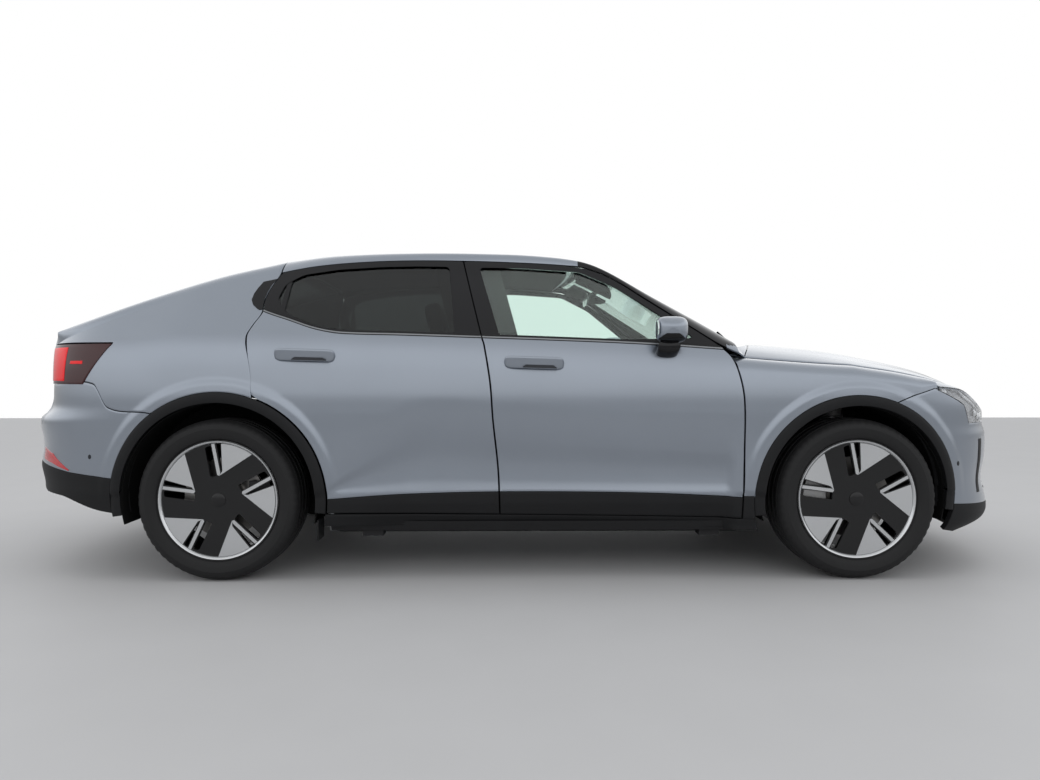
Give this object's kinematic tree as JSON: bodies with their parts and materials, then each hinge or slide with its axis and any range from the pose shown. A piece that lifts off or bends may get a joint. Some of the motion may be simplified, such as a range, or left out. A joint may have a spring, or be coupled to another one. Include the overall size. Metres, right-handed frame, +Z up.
{
  "type": "fastback sedan",
  "caption": "Five-seat electric fastback sedan with opening doors, hood and tailgate, steered front wheels and rolling wheels.",
  "frame": {"origin": "on the ground under the middle of the car", "axes": "+X forward along the length, +Y to the car's left, +Z up"},
  "size_m": [4.606, 1.985, 1.4805],
  "materials": {
    "paint": "metallic blue-grey clear coat",
    "bumper_paint": "metallic blue-grey clear coat on moulded plastic",
    "mirror_cap": "metallic blue-grey clear coat over a black base",
    "clear_glass": "clear, faint green",
    "tinted_glass": "dark privacy tint",
    "black_plastic": "matte black",
    "grey_plastic": "grained dark grey",
    "lamp_glass": "clear lamp lens",
    "red_lamp": "red lamp lens",
    "underbody_steel": "black dip coat",
    "battery_case": "plain sheet",
    "cast_alloy": "as cast",
    "wheel_alloy": "machined faces and black paint",
    "tyre_rubber": "matte black rubber",
    "cabin_trim": "soft black trim",
    "cabin_leather": "black leather",
    "seat_cover": "dark woven cover"
  },
  "bodies": {
    "body": {"body_side_left": "paint", "body_side_right": "paint", "quarter_left": "paint", "quarter_right": "paint", "fender_left": "paint", "fender_right": "paint", "roof": "paint", "front_bumper": "bumper_paint", "rear_bumper": "bumper_paint", "windscreen": "clear_glass", "cowl": "black_plastic", "headlamps": "lamp_glass", "tail_lamps": "red_lamp", "arch_trims": "grey_plastic", "arch_liners": "black_plastic", "floor_pan": "underbody_steel", "front_frame": "underbody_steel", "front_carrier": "underbody_steel", "rear_carrier": "underbody_steel", "battery_pack": "battery_case", "front_drive_unit": "cast_alloy", "rear_drive_unit": "cast_alloy", "dashboard": "cabin_trim", "front_seats": "seat_cover", "rear_seat": "seat_cover"},
    "front_door_left": {"front_door_left": "paint", "front_glass_left": "clear_glass", "mirror_left": "mirror_cap"},
    "front_door_right": {"front_door_right": "paint", "front_glass_right": "clear_glass", "mirror_right": "mirror_cap"},
    "rear_door_left": {"rear_door_left": "paint", "rear_glass_left": "tinted_glass"},
    "rear_door_right": {"rear_door_right": "paint", "rear_glass_right": "tinted_glass"},
    "hood": {"hood": "paint"},
    "tailgate": {"tailgate": "paint", "tailgate_glass": "tinted_glass"},
    "knuckle_left": {"knuckle_left": "cast_alloy"},
    "knuckle_right": {"knuckle_right": "cast_alloy"},
    "wheel_front_left": {"wheel_front_left": "wheel_alloy", "tyre_front_left": "tyre_rubber"},
    "wheel_front_right": {"wheel_front_right": "wheel_alloy", "tyre_front_right": "tyre_rubber"},
    "wheel_rear_left": {"wheel_rear_left": "wheel_alloy", "tyre_rear_left": "tyre_rubber"},
    "wheel_rear_right": {"wheel_rear_right": "wheel_alloy", "tyre_rear_right": "tyre_rubber"},
    "steering_wheel": {"steering_wheel": "cabin_leather"}
  },
  "joints": [
    {"name": "front_door_left_hinge", "type": "hinge", "parent": "body", "child": "front_door_left", "pos_m": [0.905, 0.9265, 0.7], "axis": [0, 0, -1], "range_deg": [0, 68]},
    {"name": "rear_door_left_hinge", "type": "hinge", "parent": "body", "child": "rear_door_left", "pos_m": [-0.15, 0.9195, 0.7], "axis": [0, 0, -1], "range_deg": [0, 68]},
    {"name": "front_door_right_hinge", "type": "hinge", "parent": "body", "child": "front_door_right", "pos_m": [0.905, -0.9265, 0.7], "axis": [0, 0, 1], "range_deg": [0, 68]},
    {"name": "rear_door_right_hinge", "type": "hinge", "parent": "body", "child": "rear_door_right", "pos_m": [-0.15, -0.9195, 0.7], "axis": [0, 0, 1], "range_deg": [0, 68]},
    {"name": "hood_hinge", "type": "hinge", "parent": "body", "child": "hood", "pos_m": [0.93, 0, 0.945], "axis": [0, -1, 0], "range_deg": [0, 56]},
    {"name": "tailgate_hinge", "type": "hinge", "parent": "body", "child": "tailgate", "pos_m": [-1.128, 0, 1.432], "axis": [0, 1, 0], "range_deg": [0, 72]},
    {"name": "steer_left", "type": "hinge", "parent": "body", "child": "knuckle_left", "pos_m": [1.43, 0.77, 0.2], "axis": [0, -0.3019, 0.9533], "range_deg": [-36, 36]},
    {"name": "steer_right", "type": "hinge", "parent": "body", "child": "knuckle_right", "pos_m": [1.43, -0.77, 0.2], "axis": [0, 0.3019, 0.9533], "range_deg": [-36, 36]},
    {"name": "wheel_front_left_spin", "type": "hinge", "parent": "knuckle_left", "child": "wheel_front_left", "pos_m": [1.43, 0.8, 0.346], "axis": [0, 1, 0], "continuous": true},
    {"name": "wheel_rear_left_spin", "type": "hinge", "parent": "body", "child": "wheel_rear_left", "pos_m": [-1.305, 0.8, 0.346], "axis": [0, 1, 0], "continuous": true},
    {"name": "wheel_front_right_spin", "type": "hinge", "parent": "knuckle_right", "child": "wheel_front_right", "pos_m": [1.43, -0.8, 0.346], "axis": [0, 1, 0], "continuous": true},
    {"name": "wheel_rear_right_spin", "type": "hinge", "parent": "body", "child": "wheel_rear_right", "pos_m": [-1.305, -0.8, 0.346], "axis": [0, 1, 0], "continuous": true},
    {"name": "steering_wheel_turn", "type": "hinge", "parent": "body", "child": "steering_wheel", "pos_m": [0.51377, -0.37, 0.8658], "axis": [-0.8988, 0, 0.4384], "range_deg": [-468, 468]}
  ],
  "couplings": [
    {"joint": "steer_right", "follows": "steer_left", "ratio": 1},
    {"joint": "steering_wheel_turn", "follows": "steer_left", "ratio": 13}
  ]
}
